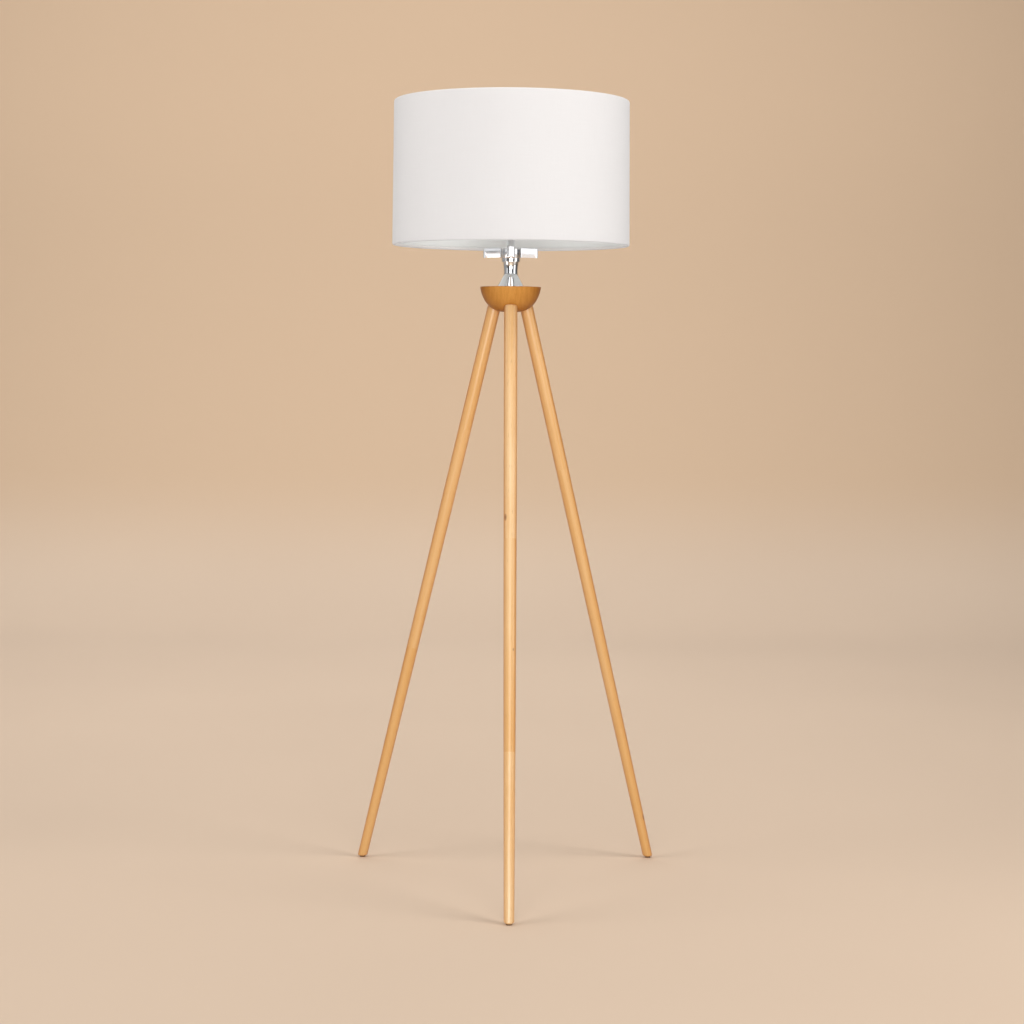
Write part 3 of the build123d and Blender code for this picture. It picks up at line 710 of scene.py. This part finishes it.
# Bulb
# An opal glass globe cemented into a screw cap, with a black glass insulator and a soldered contact.
GLOBE_LOW, GLOBE_HIGH = (np.array(corner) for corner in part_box("bulb_glass"))
CAP_LOW, CAP_HIGH = (np.array(corner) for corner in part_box("bulb_cap"))
GLOBE_RADIUS = 0.030
GLOBE_NECK = 0.0136
CAP_RADIUS = float(CAP_HIGH[0])
CAP_PITCH = 0.003629
CAP_THREAD = 0.0009
CAP_THREAD_ENDS = (0.001, 0.003)
CAP_WALL = 0.0013
CEMENT_GAP = 0.0002
globe_centre = GLOBE_HIGH[2] - GLOBE_RADIUS
throat_drop = globe_centre - CAP_HIGH[2]
touch = math.acos(GLOBE_RADIUS / math.hypot(GLOBE_NECK, throat_drop)) - math.atan2(throat_drop, GLOBE_NECK)
sweep = np.linspace(touch, 0.5 * math.pi, 40)
dome = np.stack([GLOBE_RADIUS * np.cos(sweep), globe_centre + GLOBE_RADIUS * np.sin(sweep)], axis=1)
foot_radius = CAP_RADIUS - CAP_WALL - CEMENT_GAP
globe_outline = np.concatenate([[(0.0, GLOBE_LOW[2]), (foot_radius, GLOBE_LOW[2]), (foot_radius, CAP_HIGH[2]),
                                 (GLOBE_NECK, CAP_HIGH[2])], dome])
globe = turned("bulb_globe", finer(globe_outline, 0.004), columns=96, crease=0.9)
opal_glass = plain_finish("opal_glass", (0.84, 0.83, 0.79), (0.86, 0.855, 0.82), 0.10, 0.16, bump=0.01)
opal_glass.node_tree.nodes["Principled BSDF"].inputs["Coat Weight"].default_value = 0.6
opal_glass.node_tree.nodes["Principled BSDF"].inputs["Coat Roughness"].default_value = 0.05
globe.data.materials.append(opal_glass)
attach(globe, "bulb")
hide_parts("bulb_glass")
cap_bore = CAP_RADIUS - CAP_WALL
cap_corners = [(cap_bore, CAP_LOW[2]), (CAP_RADIUS, CAP_LOW[2]), (CAP_RADIUS, CAP_HIGH[2]),
               (cap_bore, CAP_HIGH[2])]
cap_outline = finer(rounded(cap_corners, [0.0012, 0.0003]), CAP_PITCH / 12.0)
screw_cap = threaded("bulb_screw_cap", cap_outline, CAP_LOW[2] + CAP_THREAD_ENDS[0],
                     CAP_HIGH[2] - CAP_THREAD_ENDS[1], CAP_PITCH, CAP_THREAD)
bulb_metal = plain_finish("bulb_metal", (0.62, 0.62, 0.62), (0.70, 0.70, 0.69), 0.22, 0.36, metal=1.0)
screw_cap.data.materials.append(bulb_metal)
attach(screw_cap, "bulb")
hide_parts("bulb_cap")
insulator_glass = plain_finish("insulator_glass", (0.012, 0.012, 0.014), (0.02, 0.02, 0.022), 0.08, 0.16,
                               bump=0.02)
dress("bulb_insulator", insulator_glass)
solder = plain_finish("solder_contact", (0.58, 0.56, 0.52), (0.66, 0.64, 0.60), 0.30, 0.45, metal=1.0)
dress("bulb_contact", solder)


# Shade frame
# White-coated steel: a hoop in each hem, and three cranked wire spokes welded to the lower hoop
# and to a flat washer, which the two rings clamp on the lampholder.
frame_paint = plain_finish("frame_paint", (0.76, 0.76, 0.73), (0.72, 0.72, 0.69), 0.32, 0.46, bump=0.18)
for node in ("shade_washer", "shade_spokes", "shade_bottom_hoop", "shade_top_hoop"):
    wire = eased_copy(node + "_wire", node, 0.0)
    wire.data.materials.clear()
    wire.data.materials.append(frame_paint)
    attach(wire, "shade")
    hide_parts(node)


# Shade liner
# A stiff white sheet, rolled into a drum, that the fabric is laminated to.
liner = eased_copy("shade_liner_sheet", "shade_liner", 0.0)
liner_sheet = plain_finish("liner_sheet", (0.84, 0.84, 0.815), (0.81, 0.81, 0.785), 0.55, 0.70,
                           bump=0.05, scale=0.3)
liner.data.materials.clear()
liner.data.materials.append(liner_sheet)
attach(liner, "shade")
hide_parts("shade_liner")


# Shade fabric
# Fine white plain-woven cotton, laminated to the liner, lapped at the back and rolled round both hoops.
SHADE_LOW, SHADE_HIGH = (np.array(corner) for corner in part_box("shade_fabric"))
SHADE_RADIUS = float(SHADE_HIGH[0])
SHADE_TAPER = 0.0026
FABRIC = 0.0005
HEM = 0.0030
SEAM_WIDTH = 0.012
LAP_EDGE = 0.0006
LAP_FADE = 0.002
SEAM_AZIMUTH = 90.0
THREAD_PITCH = 0.00055
FABRIC_WHITE = (0.80, 0.762, 0.738)
# Darker cotton colour, reached in the weave's hollows as painted shade and along slubs as the thread's own
# tone.
FABRIC_SHADE_AND_SLUB = (0.66, 0.628, 0.606)

low_hem = np.array([SHADE_RADIUS - HEM, SHADE_LOW[2] + HEM])
high_hem = np.array([SHADE_RADIUS - SHADE_TAPER - HEM, SHADE_HIGH[2] - HEM])


def hem_roll(centre, radius, first, last, steps=20):
    """Circle arc about the middle of a hem, from one angle to another in degrees."""
    angle = np.radians(np.linspace(first, last, steps))
    return centre + radius * np.stack([np.cos(angle), np.sin(angle)], axis=1)


outer = np.concatenate([hem_roll(low_hem, HEM, -270.0, 0.0), hem_roll(high_hem, HEM, 0.0, 270.0)])
inner = np.concatenate([hem_roll(high_hem, HEM - FABRIC, 270.0, 0.0),
                        hem_roll(low_hem, HEM - FABRIC, 0.0, -270.0)])
fabric_outline = finer(np.concatenate([outer, inner]), 0.02)


def fabric_surface(name, outline, columns=240):
    """Drum turned from the rolled outline; a lap of one more thickness stands out over the seam's width.

    The columns are even round the drum, with a few more at the two edges of the lap. The UV map is
    in metres: round the drum, and along the outline.
    """
    half = 0.5 * SEAM_WIDTH / SHADE_RADIUS
    middle = math.radians(SEAM_AZIMUTH)
    step = LAP_EDGE / SHADE_RADIUS
    edges = middle + np.array([-half - step, -half, half, half + step])
    angle = np.sort(np.concatenate([np.linspace(0.0, 2.0 * math.pi, columns, endpoint=False), edges]))
    radius, height = outline[:, :1], outline[:, 1:]
    over = np.interp(np.abs(angle - middle), [half, half + step], [1.0, 0.0])
    low, high = SHADE_LOW[2] + HEM, SHADE_HIGH[2] - HEM
    wall = np.interp(height, [low, low + LAP_FADE, high - LAP_FADE, high], [0.0, 1.0, 1.0, 0.0])
    narrow = SHADE_RADIUS - SHADE_TAPER
    skin = np.interp(radius, [narrow - 0.0003, narrow - 0.0002], [0.0, 1.0])
    lap = FABRIC * over * wall * skin
    radius = radius + lap
    points = np.stack([radius * np.cos(angle), radius * np.sin(angle), height + 0.0 * angle], axis=-1)
    closed = np.concatenate([outline, outline[:1]])
    travel = np.concatenate([[0.0], np.cumsum(np.linalg.norm(np.diff(closed, axis=0), axis=1))])
    round_drum = np.concatenate([angle, angle[:1] + 2.0 * math.pi]) * SHADE_RADIUS
    uv = np.stack(np.broadcast_arrays(round_drum[None], travel[:, None]), axis=-1)
    return surface(name, points, uv, ring=True, crease=1.0)


drum = fabric_surface("shade_fabric_drum", fabric_outline)

# Plain weave in metres of cloth: threads over and under by turns, with slubs along both directions.
plain_weave, weave_in, weave_out = group(
    "plain_weave", {"Cloth": ("Vector", None), "Pitch": ("Float", THREAD_PITCH)},
    {"Height": ("Float", None), "Gap": ("Float", None), "Slub": ("Float", None)})
tree = plain_weave
split = put(tree, "ShaderNodeSeparateXYZ")
join(tree, (weave_in.outputs["Cloth"], split.inputs[0]))
across = [maths(tree, "DIVIDE", split.outputs[axis], weave_in.outputs["Pitch"]) for axis in (0, 1)]
crown = [maths(tree, "ABSOLUTE", maths(tree, "SINE", maths(tree, "MULTIPLY", run, math.pi)))
         for run in across]
cell = maths(tree, "ADD", maths(tree, "FLOOR", across[0]), maths(tree, "FLOOR", across[1]))
turn_up = maths(tree, "FLOORED_MODULO", cell, 2.0)
warp = maths(tree, "MULTIPLY", crown[0], maths(tree, "ADD", 0.55, maths(tree, "MULTIPLY", turn_up, 0.45)))
weft = maths(tree, "MULTIPLY", crown[1], maths(tree, "SUBTRACT", 1.0, maths(tree, "MULTIPLY", turn_up, 0.45)))
height = maths(tree, "MAXIMUM", warp, weft)
slub_up = stretched_noise(tree, weave_in.outputs["Cloth"], (1500.0, 22.0, 1.0), in_Detail=1.0)
slub_round = stretched_noise(tree, weave_in.outputs["Cloth"], (18.0, 1300.0, 1.0), in_Detail=1.0)
slub = ranged(tree, maths(tree, "ADD", slub_up, slub_round), 0.75, 1.3)
gap = ranged(tree, height, 0.25, 0.85, 1.0, 0.0)
join(tree, (height, weave_out.inputs["Height"]), (gap, weave_out.inputs["Gap"]),
     (slub, weave_out.inputs["Slub"]))

shade_cotton, tree, shader = new_material("shade_cotton")
cloth = put(tree, "ShaderNodeUVMap", uv_map="UVMap")
weave = place(tree, plain_weave)
# The hollows between threads darken towards the darker cotton: painted shade in the weave. The slubs darken
# it a little too, the thread's own tone.
painted_hollow_shade = maths(tree, "MULTIPLY", weave.outputs["Gap"], 0.30)
streaks = maths(tree, "MULTIPLY", weave.outputs["Slub"], 0.10)
tint = blend_colour(tree, maths(tree, "ADD", painted_hollow_shade, streaks), FABRIC_WHITE, FABRIC_SHADE_AND_SLUB)
relief = put(tree, "ShaderNodeBump", in_Strength=0.35, in_Distance=0.00012)
rough = ranged(tree, weave.outputs["Slub"], 0.0, 1.0, 0.78, 0.92)
join(tree, (cloth.outputs[0], weave.inputs["Cloth"]), (tint, shader.inputs["Base Color"]),
     (rough, shader.inputs["Roughness"]),
     (weave.outputs["Height"], relief.inputs["Height"]), (relief.outputs[0], shader.inputs["Normal"]))
shader.inputs["Sheen Weight"].default_value = 0.15
shader.inputs["Sheen Roughness"].default_value = 0.5
shader.inputs["Specular IOR Level"].default_value = 0.25
drum.data.materials.append(shade_cotton)
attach(drum, "shade")
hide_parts("shade_fabric")


# Stage
# A plain pale sweep that runs from the floor up behind the lamp, soft lamps, and the camera.
# The two small arm lamps are there for their pale reflections in the chrome arms.
SWEEP_COLOUR = (0.690, 0.529, 0.395)
SWEEP_MOTTLE = (0.715, 0.550, 0.411)
WALL_COLOUR = (0.662, 0.474, 0.320)
WALL_FROM, WALL_FULL = 0.10, 0.55
SWEEP_BOUNCE = (0.60, 0.60, 0.61)
SWEEP_FRONT, SWEEP_FOOT, SWEEP_BEND, SWEEP_TOP = -7.0, 3.2, 1.6, 6.0
SWEEP_HALF_WIDTH = 7.0
bend = np.radians(np.linspace(-90.0, 0.0, 24))
cove = np.stack([SWEEP_FOOT + SWEEP_BEND * np.cos(bend), SWEEP_BEND + SWEEP_BEND * np.sin(bend)], axis=1)
profile = np.concatenate([[(SWEEP_FRONT, 0.0)], cove, [(SWEEP_FOOT + SWEEP_BEND, SWEEP_TOP)]])
sides = np.array([-SWEEP_HALF_WIDTH, SWEEP_HALF_WIDTH])
sweep_points = np.stack(np.broadcast_arrays(sides[None], profile[:, :1], profile[:, 1:]), axis=-1)
backdrop = surface("pale_sweep", sweep_points, loop=False)
sweep_paint, tree, shader = new_material("sweep_paint")
spot = put(tree, "ShaderNodeTexCoord")
mottle = stretched_noise(tree, spot.outputs["Object"], (0.6, 0.6, 0.6), in_Detail=2.0)
tint = blend_colour(tree, ranged(tree, mottle, 0.3, 0.7), SWEEP_COLOUR, SWEEP_MOTTLE)
rise = put(tree, "ShaderNodeSeparateXYZ")
join(tree, (spot.outputs["Object"], rise.inputs[0]))
tint = blend_colour(tree, ranged(tree, rise.outputs[2], WALL_FROM, WALL_FULL), tint, WALL_COLOUR)
# The sweep has its colour where it is seen or mirrored; the light that it throws back is near neutral.
seen = put(tree, "ShaderNodeLightPath")
straight = maths(tree, "ADD", seen.outputs["Is Camera Ray"], seen.outputs["Is Glossy Ray"])
straight = maths(tree, "ADD", straight, seen.outputs["Is Transmission Ray"], clamp=True)
join(tree, (blend_colour(tree, straight, SWEEP_BOUNCE, tint), shader.inputs["Base Color"]))
shader.inputs["Roughness"].default_value = 0.9
shader.inputs["Specular IOR Level"].default_value = 0.1
backdrop.data.materials.append(sweep_paint)


def soft_lamp(name, place_at, aim, size, power):
    """Rectangular white area lamp at a place, turned to face a point."""
    lamp = bpy.data.lights.new(name, "AREA")
    lamp.shape = "RECTANGLE"
    lamp.size, lamp.size_y = size
    lamp.energy = power
    lamp_object = bpy.data.objects.new(name, lamp)
    bpy.context.scene.collection.objects.link(lamp_object)
    way = Vector(aim) - Vector(place_at)
    facing = way.to_track_quat("-Z", "Y").to_matrix().to_4x4()
    lamp_object.matrix_world = Matrix.Translation(place_at) @ facing


soft_lamp("front_wash", (-0.1, -5.0, 2.1), (0.0, 0.0, 1.2), (3.2, 3.2), 76.0)
soft_lamp("front_low", (0.1, -4.7, 0.55), (0.0, 0.2, 1.25), (3.0, 0.7), 57.0)
soft_lamp("key_high", (2.5, -1.2, 3.5), (0.0, 0.0, 1.3), (1.6, 1.4), 54.0)
soft_lamp("key_right", (2.0, -1.0, 1.3), (0.0, 0.0, 1.2), (1.2, 1.2), 7.0)
soft_lamp("arm_right", (2.0, -1.0, 0.34), (0.0, 0.0, 1.2), (1.2, 0.6), 1.3)
soft_lamp("side_left", (-3.3, 0.3, 1.4), (0.0, 0.3, 1.2), (5.0, 2.2), 7.0)
soft_lamp("arm_left", (-2.6, -1.4, 1.35), (0.0, 0.0, 1.2), (1.1, 0.9), 2.0)
soft_lamp("high_left", (-2.7, -0.8, 3.3), (0.0, 0.0, 1.3), (2.0, 1.6), 44.0)
soft_lamp("low_left", (-2.4, -1.3, 0.3), (0.0, 0.0, 1.0), (1.4, 0.5), 3.0)
soft_lamp("top_front", (0.0, -1.2, 4.4), (0.0, 0.0, 1.0), (2.0, 1.6), 15.0)
soft_lamp("top_back", (-0.5, 1.6, 4.6), (-0.5, 2.4, 0.0), (4.0, 2.5), 60.0)
soft_lamp("back_band", (-0.4, 2.9, 3.0), (-0.4, 3.8, 0.0), (6.0, 0.8), 43.0)

AIR_COLOUR = (0.95, 0.97, 1.0)
AIR_STRENGTH = 0.12
world = bpy.data.worlds.new("studio_air")
world.use_nodes = True
world.node_tree.nodes["Background"].inputs["Color"].default_value = (*AIR_COLOUR, 1.0)
world.node_tree.nodes["Background"].inputs["Strength"].default_value = AIR_STRENGTH
bpy.context.scene.world = world

CAMERA_PLACE = (-0.0636, -4.0117, 1.0328)
CAMERA_PITCH = 4.546
CAMERA_YAW = -0.991
CAMERA_ROLL = 0.418
CAMERA_LENS = 73.72
eye = bpy.data.cameras.new("photo_camera")
eye.sensor_width = 36.0
eye.lens = CAMERA_LENS
eye.clip_end = 60.0
camera = bpy.data.objects.new("photo_camera", eye)
bpy.context.scene.collection.objects.link(camera)
turn = (Matrix.Rotation(math.radians(CAMERA_YAW), 3, "Z")
        @ Matrix.Rotation(math.radians(90.0 - CAMERA_PITCH), 3, "X")
        @ Matrix.Rotation(math.radians(CAMERA_ROLL), 3, "Z"))
camera.matrix_world = Matrix.Translation(CAMERA_PLACE) @ turn.to_4x4()
bpy.context.scene.camera = camera
bpy.context.scene.view_settings.view_transform = "Standard"
